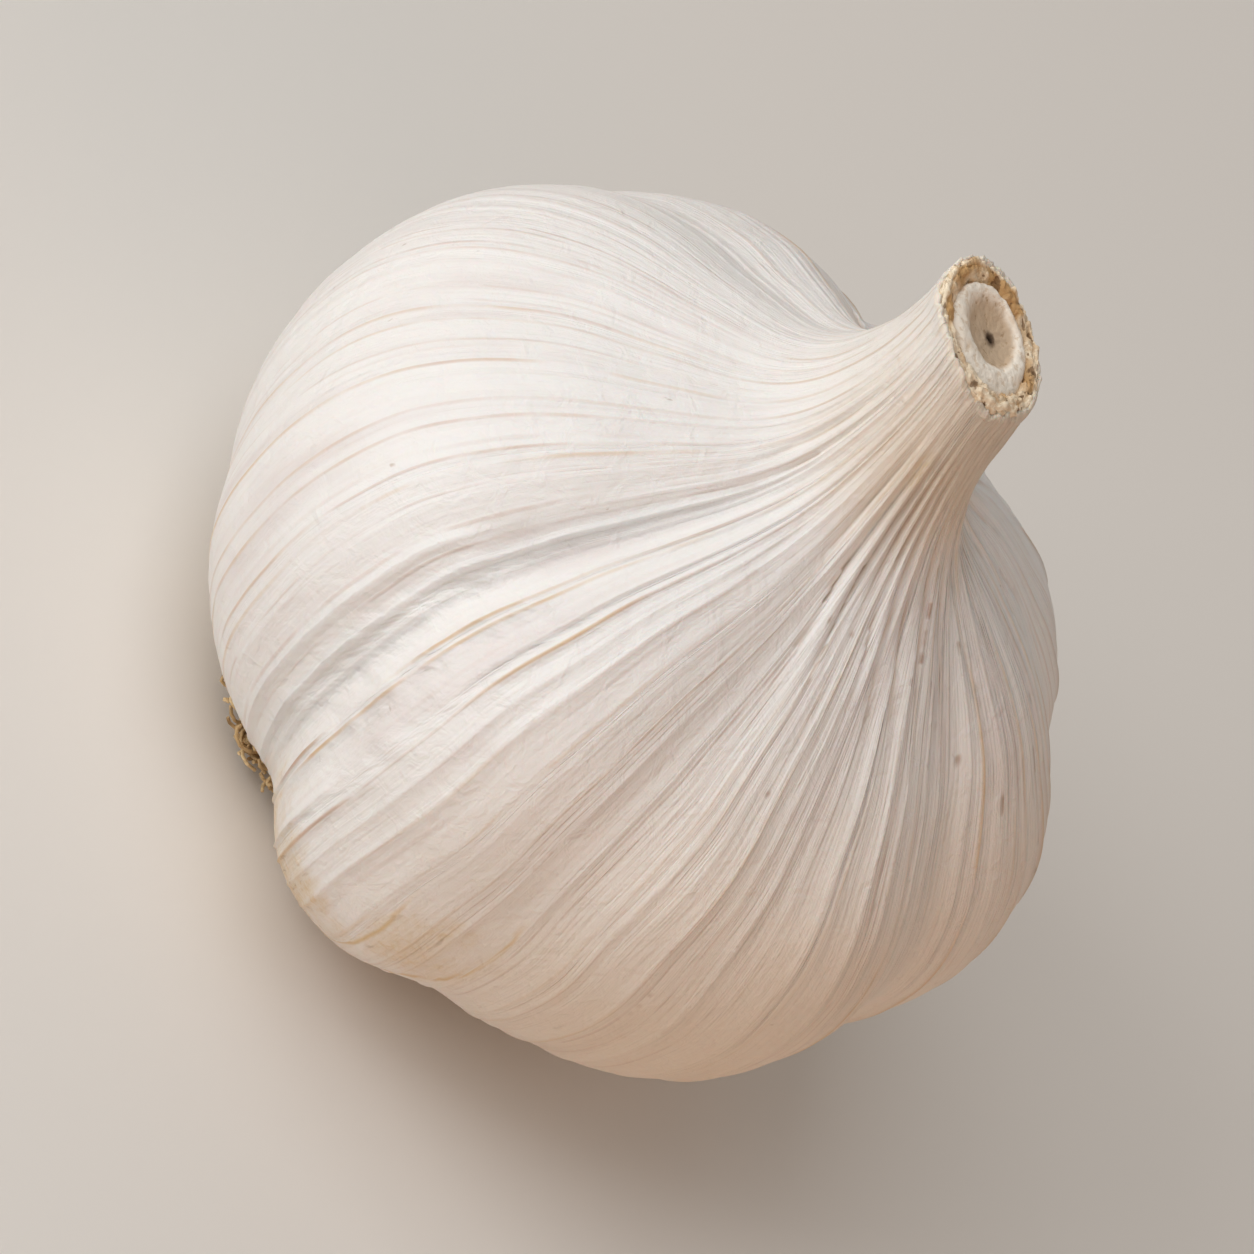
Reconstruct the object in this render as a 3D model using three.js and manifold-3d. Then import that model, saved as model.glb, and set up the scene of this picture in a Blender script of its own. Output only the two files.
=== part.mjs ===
// A garlic bulb standing on its trimmed roots, with a short cut neck.
// Millimetres, +Z up along the neck, origin at the middle of the flat under the root plate.
// Angles are in degrees, measured round the bulb from its front (-Y) towards +X.
import * as THREE from 'three';
import { mergeVertices } from 'three/addons/utils/BufferGeometryUtils.js';
import Module from 'manifold-3d';

// Driving dimensions
const BULB_DIAMETER = 54;
const BULB_HEIGHT = 51.9;
const NECK_DIAMETER = 9.4;
const NECK_LEAN = 4.3;
const CORE_DIAMETER = 5.8;
const ROOT_RING_DIAMETER = 19.6;
const ROOT_FLAT_DIAMETER = 11.4;
const SKIN_THICKNESS = 0.5;
const PIECE_GAP = 0.3;

// Grooves between the cloves: where each one runs, how deep it lies under the backs of its cloves,
// and how far along the skin it begins
const GROOVES = [
  { angle: -62, depth: 1.1, begins: 0.1 },
  { angle: -16, depth: 2.1, begins: 0 },
  { angle: 22, depth: 1.7, begins: 0.26 },
  { angle: 54, depth: 1.1, begins: 0.24 },
  { angle: 88, depth: 1.4, begins: 0.1 },
  { angle: 128, depth: 1.7, begins: 0 },
  { angle: 168, depth: 1.4, begins: 0.1 },
  { angle: 210, depth: 1.9, begins: 0 },
  { angle: 250, depth: 1.5, begins: 0.05 },
];
const GROOVE_REACH = 21;
const GROOVE_SOFTNESS = 2.5;
const OUT_OF_ROUND = 0.7;
const PLUMP_CLOVE = { angle: 8, height: 0.9, reach: 24 };

// Veins that stand out of the skin as ribs, and draw together into pleats on the neck
const VEIN_COUNT = 36;
const VEIN_WANDER = 0.28;
const VEIN_HEIGHT = 0.3;
const VEIN_HALF_WIDTH = 1.3;
const PLEAT_HEIGHT = 0.4;
const PLEAT_WANDER = 0.1;
const PLEAT_HALF_WIDTH = 3.4;
const PLEAT_TWIST = 6;
const ROOT_TWIST = 10;

// Places along the skin, from 0 at the root recess to 1 at the rim of the neck
const GROOVE_BEGUN = 0.18;
const UNTWISTED = 0.55;
const GATHERING = 0.5;
const GATHERED = 0.8;
const GROOVE_ENDED = 0.84;
const RIM = 1;

// Root stubs: two staggered rings of short curled straps
const STUB_COUNT = 48;
const STUB_RADIUS = 0.5;
const STUB_SIDES = 5;
const STUB_STEPS = 4;
const STUB_REACH = 1.7;
const STUB_CURL = 0.9;

// Radii of the pieces that sit inside each other in the neck and at the root
const BULB_RADIUS = BULB_DIAMETER / 2;
const NECK_RADIUS = NECK_DIAMETER / 2;
const CORE_RADIUS = CORE_DIAMETER / 2;
const SOCKET_RADIUS = NECK_RADIUS - SKIN_THICKNESS;
const SHEATH_RADIUS = SOCKET_RADIUS - PIECE_GAP;
const SHEATH_BORE = CORE_RADIUS + PIECE_GAP;
const ROOT_RING_RADIUS = ROOT_RING_DIAMETER / 2;
const ROOT_FLAT_RADIUS = ROOT_FLAT_DIAMETER / 2;
const INNER_STUBS = ROOT_FLAT_RADIUS + 1.1;
const OUTER_STUBS = ROOT_RING_RADIUS - STUB_RADIUS - STUB_REACH;
const PLATE_RADIUS = OUTER_STUBS + 0.7;
const RECESS_RADIUS = PLATE_RADIUS + PIECE_GAP;

// How far the cut across the neck falls for each millimetre towards +X and towards +Y
const CUT_FALL = new THREE.Vector2(0.13, 0.09);

// Levels above the flat that the bulb stands on
const WIDEST_LEVEL = 18.5;
const LEAN_LEVEL = 28;
const SLOPING_LEVEL = 40;
const TEAR = 0.4;
const RIM_LEVEL = BULB_HEIGHT - TEAR;
const SOCKET_FLOOR = BULB_HEIGHT - 4.5;
const CUT_LEVEL = BULB_HEIGHT - 0.9;
const PLATE_TOP = 3.6;
const RECESS_FLOOR = PLATE_TOP + PIECE_GAP;

const radians = THREE.MathUtils.degToRad;
const { smoothstep, lerp } = THREE.MathUtils;

// The skin's half outline over the back of a clove, from the root recess up to the rim of the neck
const skinOutline = new THREE.SplineCurve([
  new THREE.Vector2(9.6, 2.6),
  new THREE.Vector2(12.5, 1.6),
  new THREE.Vector2(18.1, 2.95),
  new THREE.Vector2(22.6, 6.75),
  new THREE.Vector2(25.65, 11.95),
  new THREE.Vector2(BULB_RADIUS, WIDEST_LEVEL),
  new THREE.Vector2(26.4, 24.1),
  new THREE.Vector2(23.8, 29.2),
  new THREE.Vector2(19.3, 33.6),
  new THREE.Vector2(13.9, 37),
  new THREE.Vector2(9.5, 39.7),
  new THREE.Vector2(6.9, 42.3),
  new THREE.Vector2(5.55, 45.4),
  new THREE.Vector2(4.9, 48.7),
  new THREE.Vector2(NECK_RADIUS, RIM_LEVEL),
]);

// A row of the outline that the grooves, veins and pleats leave alone
function plainRow(radius, level, along = 0) {
  return { radius, level, along, outward: new THREE.Vector2(), tear: 0 };
}

// A row of the skin, with the direction in which its grooves and veins are raised
function skinRow(along) {
  const point = skinOutline.getPoint(along);
  const tangent = skinOutline.getTangent(along);
  const outward = new THREE.Vector2(tangent.y, -tangent.x);
  return { radius: point.x, level: point.y, along, outward, tear: along === RIM ? 1 : 0 };
}

// How far an angle is from a direction, from -180 to 180
const away = (angle, direction) => THREE.MathUtils.euclideanModulo(angle - direction + 180, 360) - 180;

// Depth of the skin under the round outline at an angle: each groove is a soft V between two rounded cloves
function grooveDepth(angle, along) {
  const softened = (groove) => Math.hypot(away(angle, groove.angle), GROOVE_SOFTNESS);
  const near = (groove) => Math.max(0, 1 - softened(groove) / GROOVE_REACH);
  const begun = (begins) => smoothstep(along, begins, begins + GROOVE_BEGUN);
  const uneven = (OUT_OF_ROUND / 2) * (1 + Math.sin(radians(2 * angle + 50)));
  const off = Math.abs(away(angle, PLUMP_CLOVE.angle));
  const plump = PLUMP_CLOVE.height * (1 - smoothstep(off, 0, PLUMP_CLOVE.reach));
  const depth = (groove) => groove.depth * near(groove) ** 2 * begun(groove.begins);
  return GROOVES.reduce((sum, groove) => sum + depth(groove), (uneven - plump) * begun(0));
}

// The grooves fade out where the skin gathers into the neck
const grooveShare = (along) => 1 - smoothstep(along, GATHERING, GROOVE_ENDED);

// How far the veins have drawn together into pleats, from 0 on the cloves to 1 on the neck
const pleatShare = (along) => smoothstep(along, GATHERING, GATHERED);

// The top of the bulb leans towards -X, and its neck the most
function neckLean(level) {
  const up = Math.max(0, (level - LEAN_LEVEL) / (BULB_HEIGHT - LEAN_LEVEL));
  return -NECK_LEAN * up * up;
}

// How far the cut's slope lowers a place beside the axis: not at all on the cloves, and fully in the neck
function cutFall(x, y, level) {
  return (CUT_FALL.x * x + CUT_FALL.y * y) * smoothstep(level, SLOPING_LEVEL, SOCKET_FLOOR);
}

// Torn edges rise and fall round the neck, between -1 and 1
const tornEdge = (angle) => 0.6 * Math.sin(radians(5 * angle)) + 0.4 * Math.sin(radians(13 * angle + 60));

// Turns a half outline round the axis: place() gives the radius, level and angle of each row in each column
function turned(outline, columns, place) {
  const points = outline.map(({ radius, level }) => new THREE.Vector2(radius, level));
  const geometry = new THREE.LatheGeometry(points, columns);
  const position = geometry.getAttribute('position');
  for (let i = 0; i < position.count; i++) {
    const column = Math.floor(i / outline.length) % columns;
    const { radius, level, angle } = place(outline[i % outline.length], column);
    const x = radius * Math.sin(radians(angle));
    const y = -radius * Math.cos(radians(angle));
    position.setXYZ(i, x + neckLean(level), y, level - cutFall(x, y, level));
  }
  return welded(geometry);
}

// Leaves a turned outline as it is, with its columns evenly round the axis
function evenly(columns) {
  return ({ radius, level }, column) => ({ radius, level, angle: (360 / columns) * column });
}

// The same surface with its seam and poles closed
function welded(geometry) {
  const bare = new THREE.BufferGeometry().setAttribute('position', geometry.getAttribute('position'));
  if (geometry.index) bare.setIndex(geometry.index);
  const merged = mergeVertices(bare, 1e-3);
  const corners = merged.index.array;
  const triangles = [];
  for (let i = 0; i < corners.length; i += 3) {
    const [a, b, c] = corners.slice(i, i + 3);
    if (a !== b && b !== c && c !== a) triangles.push(a, b, c);
  }
  return merged.setIndex(triangles);
}

// Bulb: the cloves in their papery skin, drawn up into the neck.
// Each vein takes three columns of points: a foot, the crest and the other foot.
function bulbGeometry() {
  const skinSteps = 2 * (skinOutline.points.length - 1);
  const outline = [
    plainRow(0, RECESS_FLOOR),
    plainRow(RECESS_RADIUS, RECESS_FLOOR),
    ...Array.from({ length: skinSteps + 1 }, (_, step) => skinRow(step / skinSteps)),
    { ...plainRow((NECK_RADIUS + SOCKET_RADIUS) / 2, RIM_LEVEL, RIM), tear: 1 },
    plainRow(SOCKET_RADIUS, RIM_LEVEL - 2 * TEAR, RIM),
    plainRow(SOCKET_RADIUS, SOCKET_FLOOR, RIM),
    plainRow(0, SOCKET_FLOOR, RIM),
  ];
  const place = ({ radius, level, along, outward, tear }, column) => {
    const vein = Math.floor(column / 3);
    const side = (column % 3) - 1;
    const gathered = pleatShare(along);
    const wander = lerp(VEIN_WANDER, PLEAT_WANDER, gathered) * Math.sin(2.4 * vein + 1);
    const middle = (360 / VEIN_COUNT) * (vein + wander);
    const cloveAngle = middle + side * lerp(VEIN_HALF_WIDTH, PLEAT_HALF_WIDTH, gathered);
    const twist = lerp(ROOT_TWIST * (1 - smoothstep(along, 0, UNTWISTED)), PLEAT_TWIST, gathered);
    const angle = cloveAngle + twist;
    const pleatHeight = PLEAT_HEIGHT * (1 - smoothstep(along, GATHERED, RIM) / 2);
    const ribHeight = lerp(VEIN_HEIGHT * smoothstep(along, 0, GROOVE_BEGUN), pleatHeight, gathered);
    const raised = (side === 0 ? ribHeight : 0) - grooveDepth(cloveAngle, along) * grooveShare(along);
    return {
      radius: radius + outward.x * raised,
      level: level + outward.y * raised + tear * TEAR * tornEdge(angle),
      angle,
    };
  };
  return turned(outline, 3 * VEIN_COUNT, place);
}

// Neck sheaths: the ring of dried leaf sheaths inside the cut neck, with a crumbled top
function sheathsGeometry() {
  const columns = 40;
  const foot = SOCKET_FLOOR + PIECE_GAP;
  const middle = (SHEATH_BORE + SHEATH_RADIUS) / 2;
  const outline = [
    plainRow(SHEATH_BORE, foot),
    plainRow(SHEATH_RADIUS, foot),
    { ...plainRow(SHEATH_RADIUS, CUT_LEVEL - TEAR), tear: 1 },
    { ...plainRow(middle, CUT_LEVEL), tear: -1 },
    { ...plainRow(SHEATH_BORE, CUT_LEVEL - TEAR), tear: 1 },
    plainRow(SHEATH_BORE, foot),
  ];
  return turned(outline, columns, ({ radius, level, tear }, column) => {
    const angle = (360 / columns) * column;
    return { radius, level: level + tear * TEAR * tornEdge(2 * angle), angle };
  });
}

// Stalk core: the cut flower stalk, a disc with a sunken middle and a small pith hole
function coreGeometry() {
  const columns = 30;
  const outline = [
    plainRow(0, SOCKET_FLOOR + PIECE_GAP),
    plainRow(CORE_RADIUS, SOCKET_FLOOR + PIECE_GAP),
    plainRow(CORE_RADIUS, CUT_LEVEL - 0.2),
    plainRow(CORE_RADIUS - 0.2, CUT_LEVEL),
    plainRow(0.62 * CORE_RADIUS, CUT_LEVEL - 0.1),
    plainRow(0.55 * CORE_RADIUS, CUT_LEVEL - 0.4),
    plainRow(0.16 * CORE_RADIUS, CUT_LEVEL - 0.6),
    plainRow(0.13 * CORE_RADIUS, CUT_LEVEL - 1.6),
    plainRow(0, CUT_LEVEL - 1.6),
  ];
  return turned(outline, columns, evenly(columns));
}

const wasm = await Module();
wasm.setup();

// A closed geometry as a solid that can be joined to others
function solid(geometry) {
  const closed = welded(geometry);
  const vertProperties = closed.getAttribute('position').array;
  const triVerts = new Uint32Array(closed.index.array);
  return new wasm.Manifold(new wasm.Mesh({ numProp: 3, vertProperties, triVerts }));
}

// Random numbers from 0 to 1 that are the same in every run
function seededRandom(seed) {
  let state = seed;
  return () => {
    state = (state * 16807) % 2147483647;
    return state / 2147483647;
  };
}

// One root stub: it leaves the plate at a radius, bends outwards along the surface and curls sideways
function stubGeometry(start, angle, curl) {
  const onPlate = (out, aside, level) => new THREE.Vector3(start + out, aside, level);
  const path = new THREE.CatmullRomCurve3([
    onPlate(-0.3, 0, PLATE_TOP - 1),
    onPlate(0.3, 0, 1.3),
    onPlate(STUB_REACH / 2, 0.3 * curl, STUB_RADIUS + 0.15),
    onPlate(STUB_REACH, curl, STUB_RADIUS + 0.25),
  ]);
  const section = new THREE.Shape();
  for (let side = 0; side < STUB_SIDES; side++) {
    const turn = (2 * Math.PI * side) / STUB_SIDES;
    const corner = [STUB_RADIUS * Math.cos(turn), STUB_RADIUS * Math.sin(turn)];
    if (side === 0) section.moveTo(...corner);
    else section.lineTo(...corner);
  }
  const strap = { steps: STUB_STEPS, bevelEnabled: false, extrudePath: path };
  return new THREE.ExtrudeGeometry(section, strap).rotateZ(radians(angle - 90));
}

// Root plate: the corky plate that the bulb stands on, grown together with its ring of trimmed root stubs
function rootPlateGeometry() {
  const columns = 40;
  const outline = [
    plainRow(0, 0),
    plainRow(ROOT_FLAT_RADIUS, 0),
    plainRow(ROOT_FLAT_RADIUS + 0.5, 0.4),
    plainRow(ROOT_FLAT_RADIUS + 0.8, 1.4),
    plainRow(PLATE_RADIUS - 0.1, 1.9),
    plainRow(PLATE_RADIUS, PLATE_TOP),
    plainRow(0, PLATE_TOP),
  ];
  const plate = turned(outline, columns, evenly(columns));
  const random = seededRandom(7);
  let joined = solid(plate);
  for (let stub = 0; stub < STUB_COUNT; stub++) {
    const angle = (360 / STUB_COUNT) * (stub + 0.4 * random());
    const start = stub % 2 === 0 ? INNER_STUBS : OUTER_STUBS;
    const curl = STUB_CURL * (2 * random() - 1);
    joined = joined.add(solid(stubGeometry(start, angle, curl)));
  }
  const mesh = joined.getMesh();
  const geometry = new THREE.BufferGeometry();
  geometry.setAttribute('position', new THREE.BufferAttribute(mesh.vertProperties, mesh.numProp));
  return geometry.setIndex(new THREE.BufferAttribute(mesh.triVerts, 1));
}

// One named piece with its own finish
function piece(name, geometry, color, roughness) {
  geometry.computeVertexNormals();
  const mesh = new THREE.Mesh(geometry, new THREE.MeshStandardMaterial({ color, roughness, metalness: 0 }));
  mesh.name = name;
  return mesh;
}

const garlic = new THREE.Group();
garlic.add(
  piece('bulb', bulbGeometry(), 0xe9e3dc, 0.55),
  piece('neck_sheaths', sheathsGeometry(), 0xb98f63, 0.85),
  piece('stalk_core', coreGeometry(), 0xcbb49d, 0.8),
  piece('root_plate', rootPlateGeometry(), 0xb58d62, 0.9),
);

export default garlic;
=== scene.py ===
# %% [markdown]
# # A garlic bulb
# A dry garlic bulb stands on its trimmed roots. Papery leaf bases wrap its cloves, draw together
# into a neck and end in a cut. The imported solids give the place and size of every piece, and this
# script makes each one again with the veins, pleats, torn edges and colours of the real thing.

# %% Load the frame
from math import cos, hypot, pi, radians, sin, tau
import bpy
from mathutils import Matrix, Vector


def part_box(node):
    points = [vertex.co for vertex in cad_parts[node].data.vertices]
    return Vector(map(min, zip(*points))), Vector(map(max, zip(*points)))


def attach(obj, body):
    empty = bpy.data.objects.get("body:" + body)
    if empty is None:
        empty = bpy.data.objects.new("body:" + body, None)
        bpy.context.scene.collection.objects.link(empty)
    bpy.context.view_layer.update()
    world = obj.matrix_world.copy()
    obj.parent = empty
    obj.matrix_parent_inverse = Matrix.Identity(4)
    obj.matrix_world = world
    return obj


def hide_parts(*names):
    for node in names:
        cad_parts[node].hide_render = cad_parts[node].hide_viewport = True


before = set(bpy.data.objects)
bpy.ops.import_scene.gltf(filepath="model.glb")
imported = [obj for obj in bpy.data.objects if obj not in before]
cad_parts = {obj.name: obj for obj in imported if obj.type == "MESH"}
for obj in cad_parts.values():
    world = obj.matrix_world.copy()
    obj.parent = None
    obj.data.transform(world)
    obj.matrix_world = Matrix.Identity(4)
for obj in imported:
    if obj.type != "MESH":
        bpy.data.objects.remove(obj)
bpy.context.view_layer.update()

from types import SimpleNamespace

import bpy
from mathutils import Matrix, Vector

print("solids:", ", ".join(sorted(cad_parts)))

# %% [markdown]
# ## Sizes
# The main lengths below are shares of a few sizes that are read from the solids, so that the dressed
# pieces sit where the solids are. Small details, such as the height of a vein, are written in
# millimetres. The cut slopes along X and Y, and above the lean level the neck leans towards -X.

# %% Read the sizes
MM = 0.001

skin_low, skin_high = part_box("bulb")
core_low, core_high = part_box("stalk_core")
root_low, root_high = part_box("root_plate")

CUT_SLOPE_X, CUT_SLOPE_Y = -0.13, -0.09
CUT_SLOPE = hypot(CUT_SLOPE_X, CUT_SLOPE_Y)

HALF_WIDTH = max(skin_high.x - skin_low.x, skin_high.y - skin_low.y) / 2
NECK_RADIUS = 0.175 * HALF_WIDTH
HEIGHT = skin_high.z - CUT_SLOPE * NECK_RADIUS
SOLID_CORE_RADIUS = (core_high.y - core_low.y) / 2
CORE_RADIUS = 1.2 * SOLID_CORE_RADIUS
CUT_LEVEL = core_high.z - CUT_SLOPE * SOLID_CORE_RADIUS
ROOT_RADIUS = (root_high.x - root_low.x) / 2

LEAN = 0.083 * HEIGHT
LEAN_LEVEL = 0.54 * HEIGHT

print(f"bulb {2 * HALF_WIDTH / MM:.1f} mm wide and {HEIGHT / MM:.1f} mm high on its axis")
print(f"cut at {CUT_LEVEL / MM:.1f} mm, neck {2 * NECK_RADIUS / MM:.1f} mm across")

# %% [markdown]
# ## Arithmetic that draws nodes
# Geometry Nodes and shaders are both networks of small boxes, and a formula of any length becomes
# a page of links. The class below wraps one output socket and lets Python's own operators add the
# Math nodes, so a formula here reads as it would on paper. Every other kind of node comes from
# `Sheet.add`, which takes the node's type, its settings and then what goes into its sockets.


# %% A socket that does sums
def operator(operation):
    """Two methods for one Math node: with the value on the left, and with it on the right."""

    def on_left(self, other):
        return maths(operation, self, other)

    def on_right(self, other):
        return maths(operation, other, self)

    return on_left, on_right


class Value:
    """One output of a node tree. Arithmetic on it adds Math nodes to the tree."""

    __add__, __radd__ = operator("ADD")
    __sub__, __rsub__ = operator("SUBTRACT")
    __mul__, __rmul__ = operator("MULTIPLY")
    __truediv__, __rtruediv__ = operator("DIVIDE")
    __mod__, __rmod__ = operator("FLOORED_MODULO")
    __pow__, __rpow__ = operator("POWER")

    def __init__(self, socket):
        self.socket = socket
        self.tree = socket.id_data

    def __abs__(self):
        return maths("ABSOLUTE", self)


# %% A sheet to draw nodes on
class Sheet:
    """A node tree being drawn. `given` holds the tree's own named inputs."""

    def __init__(self, tree):
        self.tree = tree
        self.given = {}

    def add(self, kind, settings=None, sockets=None, output=None):
        node = self.tree.nodes.new(kind)
        for name, setting in (settings or {}).items():
            setattr(node, name, setting)
        for name, value in (sockets or {}).items():
            plug(value, find_socket(node.inputs, name))
        return Value(find_socket(node.outputs, output))


def find_socket(sockets, name):
    """The socket in use that has this name or number, or the first one in use."""
    if isinstance(name, int):
        return sockets[name]
    in_use = [socket for socket in sockets if socket.enabled]
    return next(socket for socket in in_use if name in (None, socket.name))


def plug(value, socket):
    """Links a Value to a socket, or sets the socket to a plain value."""
    if isinstance(value, Value):
        value.tree.links.new(value.socket, socket)
    else:
        socket.default_value = value


def maths(operation, *operands):
    """Adds one Math node."""
    tree = next(operand.tree for operand in operands if isinstance(operand, Value))
    sockets = dict(enumerate(operands))
    return Sheet(tree).add("ShaderNodeMath", {"operation": operation}, sockets)


# %% Fades, vectors and noise
def fade(value, start, end):
    """Runs smoothly from 0 where the value is at start to 1 where it is at end."""
    sockets = {"Value": value, "From Min": start, "From Max": end}
    return Sheet(value.tree).add("ShaderNodeMapRange", {"interpolation_type": "SMOOTHSTEP"}, sockets)


def band(value, start, full, falls, gone):
    """Rises from 0 at start to 1 at full, and falls from 1 at falls to 0 at gone."""
    return fade(value, start, full) * fade(value, gone, falls)


def near(value, edge, flat):
    """1 where the value is within flat of 0, and 0 from edge on."""
    return fade(abs(value), edge, flat)


def vector(sheet, x=0, y=0, z=0):
    return sheet.add("ShaderNodeCombineXYZ", {}, {"X": x, "Y": y, "Z": z})


def parts(value):
    """The three numbers of a vector."""
    node = Sheet(value.tree).add("ShaderNodeSeparateXYZ", {}, {"Vector": value}).socket.node
    x, y, z = [Value(socket) for socket in node.outputs]
    return SimpleNamespace(x=x, y=y, z=z)


def noise(sheet, place, scale, detail=2.0, roughness=0.5, distortion=0.0):
    """Soft random lumps, about 0.5 on average, at so many a metre."""
    sockets = {"Vector": place, "Scale": scale, "Detail": detail, "Roughness": roughness}
    sockets["Distortion"] = distortion
    return sheet.add("ShaderNodeTexNoise", {"noise_dimensions": "3D"}, sockets, "Fac")


def tell(what, sheet):
    """Prints how far a tree has come."""
    print(f"{what}: {len(sheet.tree.nodes)} nodes")


print("node helpers ready")

# %% [markdown]
# ## Turning an outline
# The skin, the neck's sheaths, the cut stalk and the root plate all go round an axis. Blender's
# Screw modifier could turn an outline into each, but the real ones have lobes, pleats or crumbs that
# change round the axis. So a Geometry Nodes tree lays a grid over the outline, with one row for each
# of its points, and formulas move every place before the seam and the poles are merged.


# %% Draw a smooth outline
def smooth_line(points, steps):
    """Points on a smooth curve through the given ones, with so many steps to a span."""
    line = []
    for span in range(len(points) - 1):
        before, start = points[max(span - 1, 0)], points[span]
        end, after = points[span + 1], points[min(span + 2, len(points) - 1)]
        for step in range(steps):
            t = step / steps
            line.append(tuple(bent(t, *four) for four in zip(before, start, end, after)))
    return line + [points[-1]]


def bent(t, before, start, end, after):
    """A cubic curve from start to end, which also heeds the points before and after."""
    leaving = (end - before) / 2
    arriving = (after - start) / 2
    cubed = (2 * start - 2 * end + leaving + arriving) * t**3
    squared = (-3 * start + 3 * end - 2 * leaving - arriving) * t**2
    return cubed + squared + leaving * t + start


def outline_mesh(name, line, relief, along):
    """A line of (radius, level) points with the way out of the surface and a mark at each one."""
    mesh = bpy.data.meshes.new(name)
    edges = [(row, row + 1) for row in range(len(line) - 1)]
    mesh.from_pydata([(radius, 0, level) for radius, level in line], edges, [])
    mesh.attributes.new("outward", "FLOAT_VECTOR", "POINT")
    mesh.attributes.new("along", "FLOAT", "POINT")
    for row in range(len(line)):
        before, after = line[max(row - 1, 0)], line[min(row + 1, len(line) - 1)]
        run, rise = after[0] - before[0], after[1] - before[1]
        share = relief[row] / max(hypot(run, rise), 1e-9)
        mesh.attributes["outward"].data[row].vector = (rise * share, 0, -run * share)
        mesh.attributes["along"].data[row].value = along[row]
    print(f"{name}: {len(line)} rows")
    return mesh


# %% Start a Geometry Nodes tree
def geometry_sheet(name, sizes):
    """A new Geometry Nodes tree with one named input for each size."""
    tree = bpy.data.node_groups.new(name, "GeometryNodeTree")
    tree.interface.new_socket("Geometry", in_out="INPUT", socket_type="NodeSocketGeometry")
    tree.interface.new_socket("Geometry", in_out="OUTPUT", socket_type="NodeSocketGeometry")
    for title, size in sizes.items():
        kind = "NodeSocketInt" if isinstance(size, int) else "NodeSocketFloat"
        tree.interface.new_socket(title, in_out="INPUT", socket_type=kind)
    sheet = Sheet(tree)
    inputs = tree.nodes.new("NodeGroupInput")
    sheet.given = {socket.name: Value(socket) for socket in inputs.outputs if socket.name}
    return sheet


def random(sheet, low, high, number, seed):
    """One random number for each whole number, the same in every run."""
    sockets = {"Min": low, "Max": high, "ID": number, "Seed": seed}
    return sheet.add("FunctionNodeRandomValue", {"data_type": "FLOAT"}, sockets)


# %% Lay a grid over an outline
def grid_sheet(name, sizes):
    """A tree that lays a grid over the outline: its sheet, its inputs, and the grid's own values."""
    sheet = geometry_sheet(name, sizes)
    outline = sheet.given["Geometry"]
    rows = sheet.add("GeometryNodeAttributeDomainSize", {"component": "MESH"}, {"Geometry": outline})
    grid_size = {"Vertices X": sheet.given["Columns"] + 1, "Vertices Y": rows}
    grid = sheet.add("GeometryNodeMeshGrid", {}, grid_size)
    index = sheet.add("GeometryNodeInputIndex")
    column = maths("FLOOR", index / rows)
    row = index - column * rows

    def at_row(field, kind):
        sockets = {"Geometry": outline, "Value": field, "Index": row}
        return sheet.add("GeometryNodeSampleIndex", {"data_type": kind, "domain": "POINT"}, sockets)

    def named(name, kind):
        return sheet.add("GeometryNodeInputNamedAttribute", {"data_type": kind}, {"Name": name})

    drawn = parts(at_row(sheet.add("GeometryNodeInputPosition"), "FLOAT_VECTOR"))
    outward = parts(at_row(named("outward", "FLOAT_VECTOR"), "FLOAT_VECTOR"))
    along = at_row(named("along", "FLOAT"), "FLOAT")
    spot = SimpleNamespace(grid=grid, column=column, radius=drawn.x, level=drawn.z, along=along)
    spot.out, spot.up = outward.x, outward.z
    return sheet, sheet.given, spot


# %% Turn a place round the axis
def round_axis(sheet, angle, radius, level, axis_x=0):
    """A place at an angle that is measured from the front, -Y, towards +X."""
    x = axis_x + radius * maths("SINE", angle)
    y = radius * maths("COSINE", angle) * -1
    return vector(sheet, x, y, level)


def on_neck(sheet, angle, radius, level, cut_share=1):
    """A place round the bulb's leaning axis. Near the cut, levels follow the cut's slope."""
    slope = CUT_SLOPE_X * maths("SINE", angle) - CUT_SLOPE_Y * maths("COSINE", angle)
    lean_share = maths("MAXIMUM", 0, (level - LEAN_LEVEL) / (HEIGHT - LEAN_LEVEL))
    lean = lean_share * lean_share * -LEAN
    return round_axis(sheet, angle, radius, level + radius * slope * cut_share, lean)


# %% [markdown]
# ## From a tree to a piece
# The modifier could stay on the object, but instances would be lost on the way to other programs.
# So each tree ends in real meshes with their finish, and the evaluated result takes the outline's
# place. Marks go with it, because a finish can only read what the geometry leaves on its points.

# %% Close a grid
WELD = 0.001 * MM


def close_grid(sheet, grid, place, marks, material):
    """Moves the grid's points, keeps marks for the material, and closes the seam and the poles."""
    shape = grid
    for name, (value, kind, domain) in marks.items():
        settings = {"data_type": kind, "domain": "POINT"}
        on_points = sheet.add("GeometryNodeFieldOnDomain", settings, {0: value})
        sockets = {"Geometry": shape, "Name": name, "Value": on_points}
        settings = {"data_type": kind, "domain": domain}
        shape = sheet.add("GeometryNodeStoreNamedAttribute", settings, sockets)
    shape = sheet.add("GeometryNodeSetPosition", {}, {"Geometry": shape, "Position": place})
    shape = sheet.add("GeometryNodeMergeByDistance", {}, {"Geometry": shape, "Distance": WELD})
    end_sheet(sheet, shape, material)


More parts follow.
